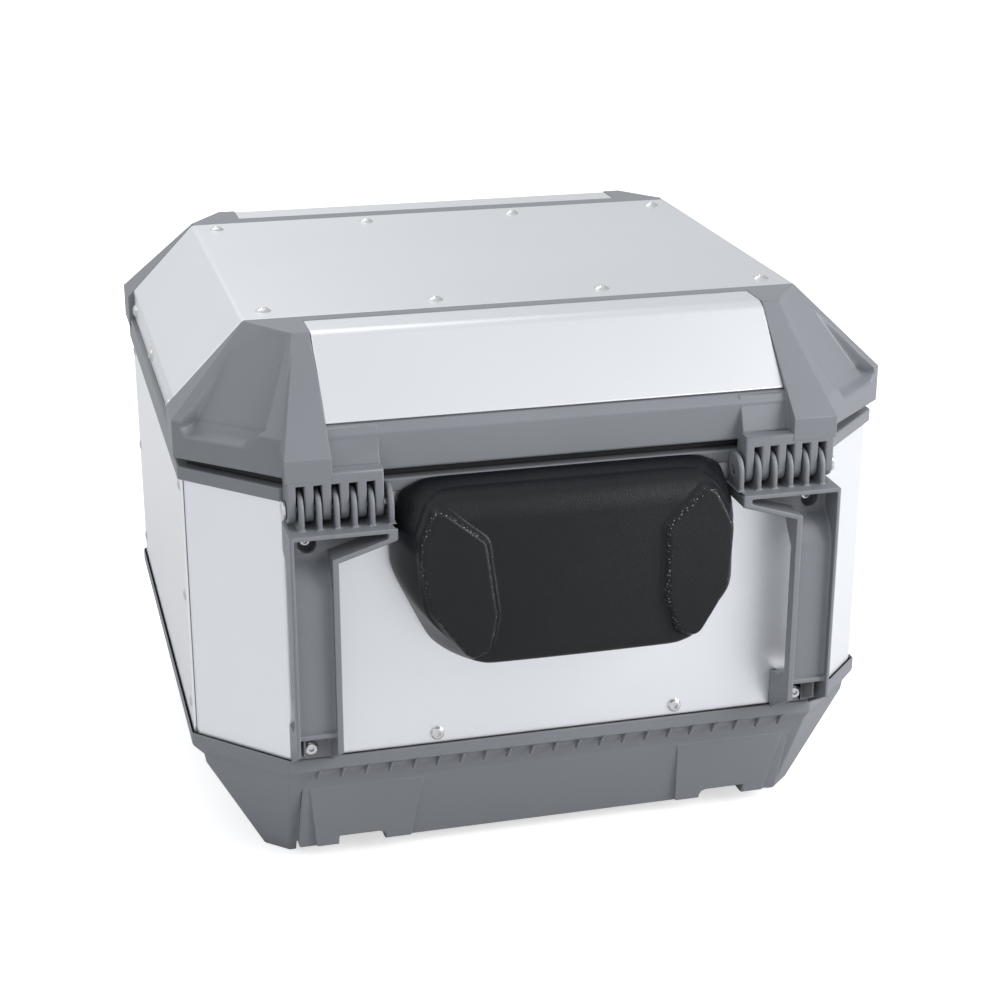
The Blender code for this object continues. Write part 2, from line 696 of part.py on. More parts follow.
def rear_lock():
    """Housing, lever with its claw, pin and key barrel. Returns the turning pieces."""
    near = HALF_DEPTH + GAP
    cheek = 36.0
    housing = boxes("lock_housing", [((-cheek, near, 186), (cheek, 230, 208))], PLASTIC)
    back = boxes("housing_back", [((-cheek + 0.2, near + 0.1, 206), (cheek - 0.2, 214.5, 252))])
    cheeks = [(near + 0.2, 206.5), (229.5, 206.5), (233.0, 210.0), (233.0, 248.0), (near + 0.2, 252.2)]
    join(housing, back)
    for side, label in ((-1, "left"), (1, "right")):
        span = sorted((side * 29.0, side * (cheek - 0.1)))
        join(housing, prism(label + "_cheek", cheeks, "x", *span))
    key_bore = cylinders("key_bore", "y", [(0, 226, KEY_Z)], 6.6, 24.0, 24)
    pin_bore = cylinders("latch_bore", "x", [(0, LATCH_Y, LATCH_Z)], 2.3, 90, 16)
    cut(housing, key_bore, pin_bore)
    cylinders("latch_pin", "x", [(0, LATCH_Y, LATCH_Z)], 2.0, 69.0, 16, STEEL)

    barrel = cylinders("key_barrel", "y", [(0, 222.9, KEY_Z)], 6.2, 16.8, 24, STEEL)
    cut(barrel, boxes("keyway", [((-0.9, 228.5, KEY_Z - 3.6), (0.9, 233, KEY_Z + 3.6))]))

    flap = [(227.5, 217.5), (231.5, 217.5), (231.5, 258.0), (233.5, 262.0), (230.5, 262.0), (227.5, 258.0)]
    lever = prism("latch_lever", flap, "x", -28.5, 28.5, PLASTIC)
    join(lever, cylinders("lever_barrel", "x", [(0, LATCH_Y, LATCH_Z)], 4.5, 56.4, 20))
    cut(lever, cylinders("lever_bore", "x", [(0, LATCH_Y, LATCH_Z)], 2.3, 70, 16))
    hook = [(222.0, 240.0), (227.2, 240.0), (227.2, 289.0), (220.4, 289.0), (220.4, 285.2), (222.0, 284.3)]
    claw = prism("latch_claw", hook, "x", -11.0, 11.0, STEEL)
    return lever, claw, barrel


def release():
    """The sprung button in the rear skirt and the ring-shaped catch that it pushes."""
    half, front, rear = CATCH_WINDOW
    button = boxes("release_button", [((-17, 172, 10.6), (17, 188.5, 18.4))], RED)
    catch = boxes("release_catch", [((-22.2, front - 12, 8), (22.2, rear + 11, 13))], STEEL)
    join(catch, boxes("push_rod", [((-6, rear + 5, 10.6), (6, 171.7, 12.8))]))
    cut(catch, boxes("catch_eye", [((-half - 0.5, front, 5), (half + 0.5, rear, 15))]))
    return button, catch


def build():
    base_tray()
    base_plate()
    walls()
    body_rim()
    mat = [(x * 0.985, y * 0.985) for x, y in eight(190.4, 154.9, 166.3, 177.3)]
    prism("floor_mat", mat, "z", FLOOR_TOP + GAP, FLOOR_TOP + 2.3, FOAM)
    backrest()

    seal_outline = [(-4.5, 266.3), (-4.5, 269.5), (-10.5, 269.5), (-10.5, 266.3)]
    lid = [lid_frame(), ring("lid_seal", seal_outline, RUBBER)]
    front_cap = lid_cap(-1, "lid_front_cap")
    rear_cap = lid_cap(1, "lid_rear_cap")
    for side, label in ((-1, "left"), (1, "right")):
        hinge_bracket(side, label)
        hinge_pin(side, label)
        hinge_comb(front_cap, side, label)
    strike = [(214.8, 276.0), (220.0, 278.0), (220.0, 284.0), (214.8, 284.0)]
    lid += [front_cap, rear_cap, lid_sheet()]
    lid += [lid_insert(-1, "lid_front_insert"), lid_insert(1, "lid_rear_insert")]
    lid.append(prism("lid_strike", strike, "x", -13.0, 13.0, STEEL))

    up = (0.0, 0.0, 1.0)
    count = 0
    for y in (SHEET_FRONT + 17.7, SHEET_REAR - 17.7):
        for x in (-162.5, -54.4, 54.4, 162.5):
            count += 1
            place = (x, y, LID_TOP + GAP)
            lid.append(fastener(f"lid_rivet_{count}", 4.7, 2.2, 2.4, 4.6, place, up, ALUMINIUM))

    out = (0.0, -1.0, 0.0)
    for side, label in ((-1, "left"), (1, "right")):
        fastener(label + "_upper_screw", 4.6, 2.4, 2.4, 9.0, (side * 157.6, -214.9, 233.5), out, STEEL)
        fastener(label + "_lower_screw", 4.6, 2.4, 2.4, 9.0, (side * 157.9, -214.8, 96.7), out, STEEL)
        fastener(label + "_wall_screw", 4.2, 2.2, 2.4, 5.0, (side * 77.7, BRACKET_BACK, 94.7), out, STEEL)

    lever, claw, barrel = rear_lock()
    button, catch = release()
    carry(axis_empty("lid_axis", (0.0, PIN_Y, PIN_Z)), *lid)
    carry(axis_empty("latch_axis", (0.0, LATCH_Y, LATCH_Z)), lever, claw)
    carry(axis_empty("key_axis", (0.0, 222.9, KEY_Z)), barrel)
    carry(axis_empty("button_axis", (0.0, 180.0, 14.5)), button)
    carry(axis_empty("catch_axis", (0.0, 100.0, 10.5)), catch)


build()
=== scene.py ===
import json
import math

import bmesh
import bpy
import numpy as np
from mathutils import Matrix, Vector


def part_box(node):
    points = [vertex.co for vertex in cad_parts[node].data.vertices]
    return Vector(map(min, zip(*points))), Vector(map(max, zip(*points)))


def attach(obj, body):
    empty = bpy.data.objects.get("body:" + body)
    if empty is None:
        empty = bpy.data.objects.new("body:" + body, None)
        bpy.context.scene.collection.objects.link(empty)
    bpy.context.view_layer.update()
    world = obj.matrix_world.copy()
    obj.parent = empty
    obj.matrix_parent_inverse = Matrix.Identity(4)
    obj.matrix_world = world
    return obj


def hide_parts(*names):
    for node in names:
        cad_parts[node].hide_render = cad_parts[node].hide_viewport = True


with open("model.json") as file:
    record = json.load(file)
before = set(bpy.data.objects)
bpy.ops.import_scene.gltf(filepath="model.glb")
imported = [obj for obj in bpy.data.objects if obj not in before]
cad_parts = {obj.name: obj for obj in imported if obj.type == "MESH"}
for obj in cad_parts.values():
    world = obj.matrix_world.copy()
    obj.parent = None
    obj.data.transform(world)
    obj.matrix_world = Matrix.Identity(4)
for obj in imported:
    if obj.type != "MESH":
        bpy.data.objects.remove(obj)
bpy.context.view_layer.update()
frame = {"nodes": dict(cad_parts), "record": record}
nodes = frame["nodes"]
bodies = frame["record"]["behaviour"]["bodies"]
slots = {s["node"]: s["material_slot"] for s in frame["record"]["subparts"]}
bodyOf = {n: b for b, members in bodies.items() for n in members}
mm = 0.001


camera = {"azimuth": 14.64, "elevation": 20.69, "roll": 0.10, "lens": 73.83, "place": (-329.2, -1326.3, 681.2)}
studio = {
    "world": 0.78, "worldRise": 0.22, "worldLeft": 0.50, "worldTint": (0.96, 0.98, 1.0), "backdrop": 1.2,
    "floor": (0.62, 0.62, 0.625), "floorLift": 0.60, "floorHalf": 9, "aim": (0, 0, 0.18),
    "key": {"place": (1.75, -1.30, 1.20), "size": 1.4, "power": 56, "tint": (1.0, 0.985, 1.0)},
    "fill": {"place": (-2.2, -0.5, 1.5), "size": 1.6, "power": 6, "tint": (0.96, 0.98, 1.0)},
    "top": {"place": (-0.5, 1.7, 2.5), "size": 2.0, "power": 14, "tint": (1.0, 1.0, 1.0)},
}


def placeCamera(s):
    # azimuth and elevation give where it looks, and roll turns it about that line
    az, el, roll = (math.radians(s[k]) for k in ("azimuth", "elevation", "roll"))
    ahead = Vector((math.sin(az) * math.cos(el), math.cos(az) * math.cos(el), -math.sin(el)))
    right = Vector((math.cos(az), -math.sin(az), 0))
    up = right.cross(ahead)
    side = right * math.cos(roll) + up * math.sin(roll)
    top = up * math.cos(roll) - right * math.sin(roll)
    data = bpy.data.cameras.new("viewCamera")
    data.lens = s["lens"]
    data.sensor_width = 36
    data.clip_start = 0.05
    obj = bpy.data.objects.new("viewCamera", data)
    bpy.context.scene.collection.objects.link(obj)
    turn = Matrix((side, top, -ahead)).transposed().to_4x4()
    obj.matrix_world = Matrix.Translation(Vector(s["place"]) * mm) @ turn
    bpy.context.scene.camera = obj


def placeLight(name, s, aim):
    data = bpy.data.lights.new(name, "AREA")
    data.size = s["size"]
    data.energy = s["power"]
    data.color = s["tint"]
    obj = bpy.data.objects.new(name, data)
    bpy.context.scene.collection.objects.link(obj)
    obj.visible_camera = False
    place = Vector(s["place"])
    turn = (place - Vector(aim)).to_track_quat("Z", "Y").to_matrix().to_4x4()
    obj.matrix_world = Matrix.Translation(place) @ turn


def buildStudio(s):
    # soft light from all round, three large lamps, and a pale floor; only the camera sees the bright backdrop
    world = bpy.data.worlds.new("studioWorld")
    bpy.context.scene.world = world
    world.use_nodes = True
    tree = world.node_tree
    tree.nodes.clear()
    out = tree.nodes.new("ShaderNodeOutputWorld")
    mix = tree.nodes.new("ShaderNodeMixShader")
    path = tree.nodes.new("ShaderNodeLightPath")
    around = tree.nodes.new("ShaderNodeBackground")
    around.inputs["Color"].default_value = (*s["worldTint"], 1)
    # brighter overhead and on the left than at the horizon
    where = tree.nodes.new("ShaderNodeTexCoord")
    parts = tree.nodes.new("ShaderNodeSeparateXYZ")
    tree.links.new(where.outputs["Generated"], parts.inputs[0])
    last = s["world"]
    for axis, low, high in (("Z", 0.0, s["worldRise"]), ("X", s["worldLeft"] / 2, -s["worldLeft"] / 2)):
        ramp = tree.nodes.new("ShaderNodeMapRange")
        ramp.inputs["From Min"].default_value = 0 if axis == "Z" else -1
        ramp.inputs["To Min"].default_value = low
        ramp.inputs["To Max"].default_value = high
        tree.links.new(parts.outputs[axis], ramp.inputs["Value"])
        total = tree.nodes.new("ShaderNodeMath")
        tree.links.new(ramp.outputs[0], total.inputs[0])
        if axis == "Z":
            total.inputs[1].default_value = last
        else:
            tree.links.new(last, total.inputs[1])
        last = total.outputs[0]
    tree.links.new(last, around.inputs["Strength"])
    seen = tree.nodes.new("ShaderNodeBackground")
    seen.inputs["Color"].default_value = (1, 1, 1, 1)
    seen.inputs["Strength"].default_value = s["backdrop"]
    tree.links.new(path.outputs["Is Camera Ray"], mix.inputs["Fac"])
    tree.links.new(around.outputs[0], mix.inputs[1])
    tree.links.new(seen.outputs[0], mix.inputs[2])
    tree.links.new(mix.outputs[0], out.inputs["Surface"])
    for name in ("key", "fill", "top"):
        placeLight(name + "Light", s[name], s["aim"])
    mesh = bpy.data.meshes.new("studioFloor")
    h = s["floorHalf"]
    mesh.from_pydata([(-h, -h, 0), (h, -h, 0), (h, h, 0), (-h, h, 0)], [], [(0, 1, 2, 3)])
    floor = bpy.data.objects.new("studioFloor", mesh)
    bpy.context.scene.collection.objects.link(floor)
    paint = bpy.data.materials.new("paleFloor")
    paint.use_nodes = True
    shader = paint.node_tree.nodes["Principled BSDF"]
    shader.inputs["Base Color"].default_value = (*s["floor"], 1)
    shader.inputs["Roughness"].default_value = 0.8
    shader.inputs["Specular IOR Level"].default_value = 0.2
    shader.inputs["Emission Color"].default_value = (1, 1, 1, 1)
    direct = paint.node_tree.nodes.new("ShaderNodeLightPath")
    lift = paint.node_tree.nodes.new("ShaderNodeMath")
    lift.operation = "MULTIPLY"
    lift.inputs[1].default_value = s["floorLift"]
    paint.node_tree.links.new(direct.outputs["Is Camera Ray"], lift.inputs[0])
    paint.node_tree.links.new(lift.outputs[0], shader.inputs["Emission Strength"])
    mesh.materials.append(paint)
    bpy.context.scene.view_settings.view_transform = "Standard"


placeCamera(camera)
buildStudio(studio)
print("camera, light and floor are in place")


def newGroup(name, inputs, outputs):
    group = bpy.data.node_groups.new(name, "ShaderNodeTree")
    for label, kind, value in inputs:
        socket = group.interface.new_socket(name=label, in_out="INPUT", socket_type=kind)
        socket.default_value = value
    for label, kind in outputs:
        group.interface.new_socket(name=label, in_out="OUTPUT", socket_type=kind)
    enter = group.nodes.new("NodeGroupInput")
    leave = group.nodes.new("NodeGroupOutput")
    return group, enter, leave


def addNode(tree, kind, links=None, **values):
    # links: {input name or index: output socket}; values are sockets' fixed values or the node's own settings
    node = tree.nodes.new(kind)
    for key, value in values.items():
        if hasattr(node, key):
            setattr(node, key, value)
        else:
            node.inputs[key.replace("_", " ")].default_value = value
    for key, source in (links or {}).items():
        tree.links.new(source, node.inputs[key])
    return node


def makeMouldGrain():
    # fine spark-eroded grain: a cell pattern with soft noise over it, as a height from 0 to 1
    group, enter, leave = newGroup("mouldGrain", [("Scale", "NodeSocketFloat", 900.0)],
                                   [("Height", "NodeSocketFloat"), ("Shade", "NodeSocketFloat")])
    place = addNode(group, "ShaderNodeTexCoord")
    fine = {"Vector": place.outputs["Object"], "Scale": enter.outputs["Scale"]}
    cells = addNode(group, "ShaderNodeTexVoronoi", fine, feature="SMOOTH_F1", Smoothness=0.8)
    soft = addNode(group, "ShaderNodeTexNoise", fine, Detail=3.0, Roughness=0.6)
    both = addNode(group, "ShaderNodeMath", {0: cells.outputs["Distance"], 1: soft.outputs["Fac"]},
                   operation="MULTIPLY")
    large = addNode(group, "ShaderNodeTexNoise", {"Vector": place.outputs["Object"]},
                    Scale=14.0, Detail=4.0, Roughness=0.55)
    group.links.new(both.outputs[0], leave.inputs["Height"])
    group.links.new(large.outputs["Fac"], leave.inputs["Shade"])
    return group


def makeRolledGrain():
    # rolled sheet: noise drawn out along one direction, and slow clouds over the whole sheet
    group, enter, leave = newGroup("rolledGrain", [("Stretch", "NodeSocketVector", (60.0, 60.0, 1400.0))],
                                   [("Height", "NodeSocketFloat"), ("Cloud", "NodeSocketFloat")])
    place = addNode(group, "ShaderNodeTexCoord")
    drawn = addNode(group, "ShaderNodeVectorMath", {0: place.outputs["Object"], 1: enter.outputs["Stretch"]},
                    operation="MULTIPLY")
    lines = addNode(group, "ShaderNodeTexNoise", {"Vector": drawn.outputs[0]},
                    Scale=1.0, Detail=4.0, Roughness=0.65)
    cloud = addNode(group, "ShaderNodeTexNoise", {"Vector": place.outputs["Object"]},
                    Scale=7.0, Detail=3.0, Roughness=0.5)
    group.links.new(lines.outputs["Fac"], leave.inputs["Height"])
    group.links.new(cloud.outputs["Fac"], leave.inputs["Cloud"])
    return group


def makeEdgeHighlight():
    # edges, for a painted highlight: where the rounded normal turns away from the true one, broken up by noise
    group, enter, leave = newGroup(
        "edgeHighlight", [("Radius", "NodeSocketFloat", 0.0012), ("Breakup", "NodeSocketFloat", 0.5)],
        [("Mask", "NodeSocketFloat"), ("Normal", "NodeSocketVector")])
    rounded = addNode(group, "ShaderNodeBevel", {"Radius": enter.outputs["Radius"]}, samples=6)
    true = addNode(group, "ShaderNodeNewGeometry")
    dot = addNode(group, "ShaderNodeVectorMath", {0: rounded.outputs["Normal"], 1: true.outputs["Normal"]},
                  operation="DOT_PRODUCT")
    turn = addNode(group, "ShaderNodeMapRange", {"Value": dot.outputs["Value"]}, From_Min=0.995, From_Max=0.90)
    place = addNode(group, "ShaderNodeTexCoord")
    noise = addNode(group, "ShaderNodeTexNoise", {"Vector": place.outputs["Object"]}, Scale=90.0, Detail=3.0)
    gap = addNode(group, "ShaderNodeMath", {0: noise.outputs["Fac"], 1: enter.outputs["Breakup"]},
                  operation="MULTIPLY")
    keep = addNode(group, "ShaderNodeMath", {1: gap.outputs[0]}, operation="SUBTRACT", use_clamp=True)
    keep.inputs[0].default_value = 1.0
    mask = addNode(group, "ShaderNodeMath", {0: turn.outputs[0], 1: keep.outputs[0]}, operation="MULTIPLY")
    group.links.new(mask.outputs[0], leave.inputs["Mask"])
    group.links.new(rounded.outputs["Normal"], leave.inputs["Normal"])
    return group


def makePebbleGrain():
    # leather-like grain: rounded cells as a height, and scattered specks as a mask for the painted highlight along
    # the seam
    group, enter, leave = newGroup("pebbleGrain", [("Scale", "NodeSocketFloat", 1100.0)],
                                   [("Height", "NodeSocketFloat"), ("HighlightSpecks", "NodeSocketFloat")])
    place = addNode(group, "ShaderNodeTexCoord")
    fine = {"Vector": place.outputs["Object"], "Scale": enter.outputs["Scale"]}
    cells = addNode(group, "ShaderNodeTexVoronoi", fine, feature="F1", Randomness=1.0)
    height = addNode(group, "ShaderNodeMath", {1: cells.outputs["Distance"]}, operation="SUBTRACT", use_clamp=True)
    height.inputs[0].default_value = 1.0
    specks = addNode(group, "ShaderNodeTexVoronoi", {"Vector": place.outputs["Object"]},
                     Scale=620.0, feature="F1")
    lit = addNode(group, "ShaderNodeMapRange", {"Value": specks.outputs["Distance"]}, From_Min=0.27, From_Max=0.12)
    noise = addNode(group, "ShaderNodeTexNoise", {"Vector": place.outputs["Object"]}, Scale=60.0, Detail=2.0)
    some = addNode(group, "ShaderNodeMapRange", {"Value": noise.outputs["Fac"]}, From_Min=0.34, From_Max=0.46)
    both = addNode(group, "ShaderNodeMath", {0: lit.outputs[0], 1: some.outputs[0]}, operation="MULTIPLY")
    group.links.new(height.outputs[0], leave.inputs["Height"])
    group.links.new(both.outputs[0], leave.inputs["HighlightSpecks"])
    return group


mouldGrain = makeMouldGrain()
rolledGrain = makeRolledGrain()
edgeHighlight = makeEdgeHighlight()
pebbleGrain = makePebbleGrain()


def startMaterial(name, **values):
    material = bpy.data.materials.new(name)
    material.use_nodes = True
    tree = material.node_tree
    shader = tree.nodes["Principled BSDF"]
    for key, value in values.items():
        shader.inputs[key.replace("_", " ")].default_value = value
    return material, tree, shader


def useGroup(tree, group, **values):
    node = tree.nodes.new("ShaderNodeGroup")
    node.node_tree = group
    for key, value in values.items():
        node.inputs[key].default_value = value
    return node


def blendColours(tree, fac, low, high):
    node = tree.nodes.new("ShaderNodeMix")
    node.data_type = "RGBA"
    tree.links.new(fac, node.inputs["Factor"])
    for socket, colour in ((node.inputs["A"], low), (node.inputs["B"], high)):
        if isinstance(colour, tuple):
            socket.default_value = (*colour, 1)
        else:
            tree.links.new(colour, socket)
    return node.outputs["Result"]


def spread(tree, value, low, high):
    return addNode(tree, "ShaderNodeMapRange", {"Value": value}, To_Min=low, To_Max=high).outputs[0]


def makePlastic(name, low, high, edge, rough, grainScale=900.0, grainDepth=0.00006):
    # a grained moulding: its colour drifts from low to high, and its edges are painted paler as a highlight
    material, tree, shader = startMaterial(name, Specular_IOR_Level=0.42)
    grain = useGroup(tree, mouldGrain, Scale=grainScale)
    edgeLit = useGroup(tree, edgeHighlight, Radius=0.0011, Breakup=0.8)
    body = blendColours(tree, grain.outputs["Shade"], low, high)
    part = addNode(tree, "ShaderNodeMath", {0: edgeLit.outputs["Mask"]}, operation="MULTIPLY")
    part.inputs[1].default_value = 0.45  # how far the edges go
    # the edge colour blended in here is a painted highlight on the rounded edges
    colour = blendColours(tree, part.outputs[0], body, edge)
    tree.links.new(colour, shader.inputs["Base Color"])
    tree.links.new(spread(tree, grain.outputs["Shade"], rough - 0.05, rough + 0.06), shader.inputs["Roughness"])
    bump = addNode(tree, "ShaderNodeBump", {"Height": grain.outputs["Height"], "Normal": edgeLit.outputs["Normal"]},
                   Strength=0.5, Distance=grainDepth)
    tree.links.new(bump.outputs[0], shader.inputs["Normal"])
    return material


def makeSheetMetal(name, low, high, rough, stretch, metallic=1.0):
    # satin sheet: slow clouds in its colour, rolling lines in its roughness and bump, and edges painted brighter
    # as a highlight
    material, tree, shader = startMaterial(name, Metallic=metallic)
    grain = useGroup(tree, rolledGrain, Stretch=stretch)
    edgeLit = useGroup(tree, edgeHighlight, Radius=0.0008, Breakup=0.3)
    body = blendColours(tree, grain.outputs["Cloud"], low, high)
    # a paler colour for the painted highlight on edges
    edge = tuple(min(1.0, c * 1.12) for c in high)
    colour = blendColours(tree, edgeLit.outputs["Mask"], body, edge)
    tree.links.new(colour, shader.inputs["Base Color"])
    tree.links.new(spread(tree, grain.outputs["Height"], rough - 0.05, rough + 0.05), shader.inputs["Roughness"])
    bump = addNode(tree, "ShaderNodeBump", {"Height": grain.outputs["Height"], "Normal": edgeLit.outputs["Normal"]},
                   Strength=0.35, Distance=0.00001)
    tree.links.new(bump.outputs[0], shader.inputs["Normal"])
    return material


def makeSteel(name, colour, rough, dark):
    material, tree, shader = startMaterial(name, Metallic=1.0)
    grain = useGroup(tree, rolledGrain, Stretch=(500.0, 500.0, 500.0))
    tree.links.new(blendColours(tree, grain.outputs["Height"], dark, colour), shader.inputs["Base Color"])
    tree.links.new(spread(tree, grain.outputs["Cloud"], rough - 0.06, rough + 0.08), shader.inputs["Roughness"])
    return material


def makeSkin(name):
    # grained cover of the pad, with specks of painted highlight where the seam attribute is high
    material, tree, shader = startMaterial(name, Specular_IOR_Level=0.24)
    grain = useGroup(tree, pebbleGrain, Scale=1250.0)
    shade = useGroup(tree, mouldGrain, Scale=300.0)
    seam = addNode(tree, "ShaderNodeAttribute", attribute_name="seam")
    body = blendColours(tree, shade.outputs["Shade"], (0.0044, 0.0050, 0.0064), (0.0078, 0.0085, 0.0103))
    line = addNode(tree, "ShaderNodeMath", {0: seam.outputs["Fac"], 1: grain.outputs["HighlightSpecks"]},
                   operation="MULTIPLY")
    # the pale colour (0.42, 0.43, 0.47) is a painted highlight along the seam
    tree.links.new(blendColours(tree, line.outputs[0], body, (0.42, 0.43, 0.47)), shader.inputs["Base Color"])
    tree.links.new(spread(tree, shade.outputs["Shade"], 0.29, 0.41), shader.inputs["Roughness"])
    bump = addNode(tree, "ShaderNodeBump", {"Height": grain.outputs["Height"]},
                   Strength=0.6, Distance=0.0002)
    tree.links.new(bump.outputs[0], shader.inputs["Normal"])
    return material


# the third colour given to makePlastic is its painted edge highlight
plastic = makePlastic("greyMoulding", (0.152, 0.161, 0.175), (0.172, 0.182, 0.197), (0.34, 0.355, 0.38),
                      0.42)
blackMoulding = makePlastic("blackMoulding", (0.016, 0.016, 0.018), (0.024, 0.024, 0.026),
                            (0.05, 0.05, 0.055), 0.5)
redMoulding = makePlastic("redMoulding", (0.32, 0.016, 0.014), (0.38, 0.022, 0.018), (0.5, 0.08, 0.06),
                          0.36)
wallMetal = makeSheetMetal("satinWall", (0.75, 0.77, 0.80), (0.815, 0.83, 0.85), 0.43,
                           (40.0, 40.0, 900.0), 0.92)
# the side sheets are the front wall's metal painted lighter, as painted light for the brighter sides
litSideMetal = makeSheetMetal("satinSideLit", (0.84, 0.85, 0.87), (0.885, 0.89, 0.90), 0.41,
                           (40.0, 40.0, 900.0), 0.92)
lidMetal = makeSheetMetal("satinLid", (0.72, 0.735, 0.76), (0.775, 0.785, 0.805), 0.34,
                          (900.0, 30.0, 900.0))
rivetMetal = makeSteel("brightRivet", (0.66, 0.665, 0.675), 0.27, (0.50, 0.505, 0.515))
steel = makeSteel("zincSteel", (0.70, 0.70, 0.71), 0.27, (0.60, 0.60, 0.62))
rubber = makePlastic("sealRubber", (0.012, 0.012, 0.013), (0.018, 0.018, 0.019), (0.03, 0.03, 0.03),
                     0.62, 600.0)
foam = makePlastic("foamSheet", (0.040, 0.040, 0.042), (0.056, 0.056, 0.058), (0.07, 0.07, 0.07), 0.85,
                   700.0, 0.0002)
skin = makeSkin("padSkin")
finishes = {
    "grey_plastic": plastic, "black_plastic": blackMoulding, "red_plastic": redMoulding, "wall_sheet": wallMetal,
    "side_sheet": litSideMetal, "lid_metal": lidMetal, "rivet_metal": rivetMetal, "steel": steel,
    "seal_rubber": rubber, "foam": foam, "pad_cover": skin,
}
print("materials are made")


def addPiece(name, mesh, body, slot, replaced=()):
    obj = bpy.data.objects.new(name, mesh)
    bpy.context.scene.collection.objects.link(obj)
    mesh.materials.clear()
    mesh.materials.append(finishes[slot])
    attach(obj, body)
    if replaced:
        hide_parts(*replaced)
    return obj


def gridFaces(rows, columns, closeRows=False, closeColumns=False):
    # each quad joins a grid point, the next point of its row, and the two points of the next row
    r, c = np.meshgrid(np.arange(rows - (not closeRows)), np.arange(columns - (not closeColumns)), indexing="ij")
    r2, c2 = (r + 1) % rows, (c + 1) % columns
    return np.stack([r * columns + c, r * columns + c2, r2 * columns + c2, r2 * columns + c], -1).reshape(-1, 4)


def meshFrom(name, points, faces, smoothAngle=None):
    # points in millimetres; doubles are merged, so that seams and poles close
    mesh = bpy.data.meshes.new(name)
    mesh.from_pydata((np.asarray(points, float).reshape(-1, 3) * mm).tolist(), [], np.asarray(faces).tolist())
    work = bmesh.new()
    work.from_mesh(mesh)
    bmesh.ops.remove_doubles(work, verts=work.verts, dist=1e-6)
    bmesh.ops.recalc_face_normals(work, faces=work.faces)
    work.to_mesh(mesh)
    work.free()
    mesh.shade_smooth()
    if smoothAngle:
        mesh.set_sharp_from_angle(angle=math.radians(smoothAngle))
    return mesh


def inQuad(points, quad):
    # true where a flat point lies inside a convex four-cornered outline, or up to half a millimetre outside it
    edge = np.roll(quad, -1, 0) - quad
    away = points[:, None] - quad
    cross = edge[:, 0] * away[..., 1] - edge[:, 1] * away[..., 0]
    return (cross / np.linalg.norm(edge, axis=1) > -0.5).all(1)


edges = {"bevelAngle": 24, "sharpAngle": 32, "segments": 3, "faceWeight": 80}


def softened(node, width, patches=()):
    # a merged copy of the solid, its sharp edges rounded by up to width, and by less where a face is narrow;
    # each patch is a surface that takes the place of the flat faces inside its outline
    work = bmesh.new()
    work.from_mesh(nodes[node].data)
    bmesh.ops.remove_doubles(work, verts=work.verts, dist=2e-6)
    bmesh.ops.dissolve_limit(work, angle_limit=math.radians(0.6), verts=work.verts, edges=work.edges)
    for patch in patches:
        gone = []
        for face in work.faces:
            away = np.array([v.co for v in face.verts]) / mm - patch["origin"]
            near = away @ patch["axes"].T
            # in the slanting outline and not deep, or in the upright band below it
            inside = inQuad(near[:, :2], patch["quad"]).all() and -14 < near[:, 2].min() and near[:, 2].max() < 4
            band = np.abs(away @ patch["level"]).max() < 0.6
            band = band and -0.6 < near[:, 0].min() and near[:, 0].max() < patch["quad"][1][0] + 0.6
            slanting = inside and np.dot(face.normal, patch["axes"][2]) > -0.4
            upright = band and np.dot(face.normal, patch["level"]) > 0.9
            if slanting or upright:
                gone.append(face)
        bmesh.ops.delete(work, geom=gone, context="FACES")
    weight = work.edges.layers.float.new("bevel_weight_edge")
    for edge in work.edges:
        if len(edge.link_faces) != 2 or edge.calc_face_angle(0) < math.radians(edges["bevelAngle"]):
            continue
        outward = edge.link_faces[0].normal + edge.link_faces[1].normal
        if node in sharpInside and outward.dot((edge.verts[0].co + edge.verts[1].co) / 2 - lidMiddle) < 0:
            continue
        room = [0.42 * f.calc_area() / max(edge.calc_length(), 1e-6) for f in edge.link_faces]
        near = [0.45 * e.calc_length() for v in edge.verts for e in v.link_edges if e is not edge]
        edge[weight] = min(1.0, min(room + near) / (width * mm))
    for patch in patches:
        work.from_mesh(patch["mesh"])
    mesh = bpy.data.meshes.new(node + "Soft")
    work.to_mesh(mesh)
    work.free()
    mesh.shade_smooth()
    mesh.set_sharp_from_angle(angle=math.radians(edges["sharpAngle"]))
    obj = addPiece(node + "Finish", mesh, bodyOf[node], slots[node], [node])
    bevel = obj.modifiers.new("roundedEdges", "BEVEL")
    bevel.limit_method = "WEIGHT"
    bevel.width = width * mm
    bevel.segments = edges["segments"]
    bevel.use_clamp_overlap = False
    even = obj.modifiers.new("evenNormals", "WEIGHTED_NORMAL")
    even.keep_sharp = True
    even.weight = edges["faceWeight"]
    return obj


def turned(profile, place, axis, around=48, hexRows=()):
    # a profile of (radius, height) turned about an axis through place; rows in hexRows are pressed to a hexagon
    profile = np.asarray(profile, float)
    axis = np.asarray(axis, float) / np.linalg.norm(axis)
    side = np.cross(axis, (0.0, 0.0, 1.0) if abs(axis[2]) < 0.9 else (1.0, 0.0, 0.0))
    side /= np.linalg.norm(side)
    other = np.cross(axis, side)
    turn = np.linspace(0, 2 * np.pi, around, endpoint=False)
    radius = np.repeat(profile[:, :1], around, 1)
    flat = 1 / np.cos((turn + np.pi / 6) % (np.pi / 3) - np.pi / 6)
    for row in hexRows:
        radius[row] *= flat
    ring = np.cos(turn)[:, None] * side + np.sin(turn)[:, None] * other
    points = np.asarray(place) + radius[..., None] * ring[None] + profile[:, 1][:, None, None] * axis
    return points.reshape(-1, 3), gridFaces(len(profile), around, closeColumns=True)


def joined(parts):
    # several point and face arrays as one
    points, faces, count = [], [], 0
    for p, f in parts:
        points.append(p)
        faces.append(np.asarray(f) + count)
        count += len(p)
    return np.concatenate(points), np.concatenate(faces)


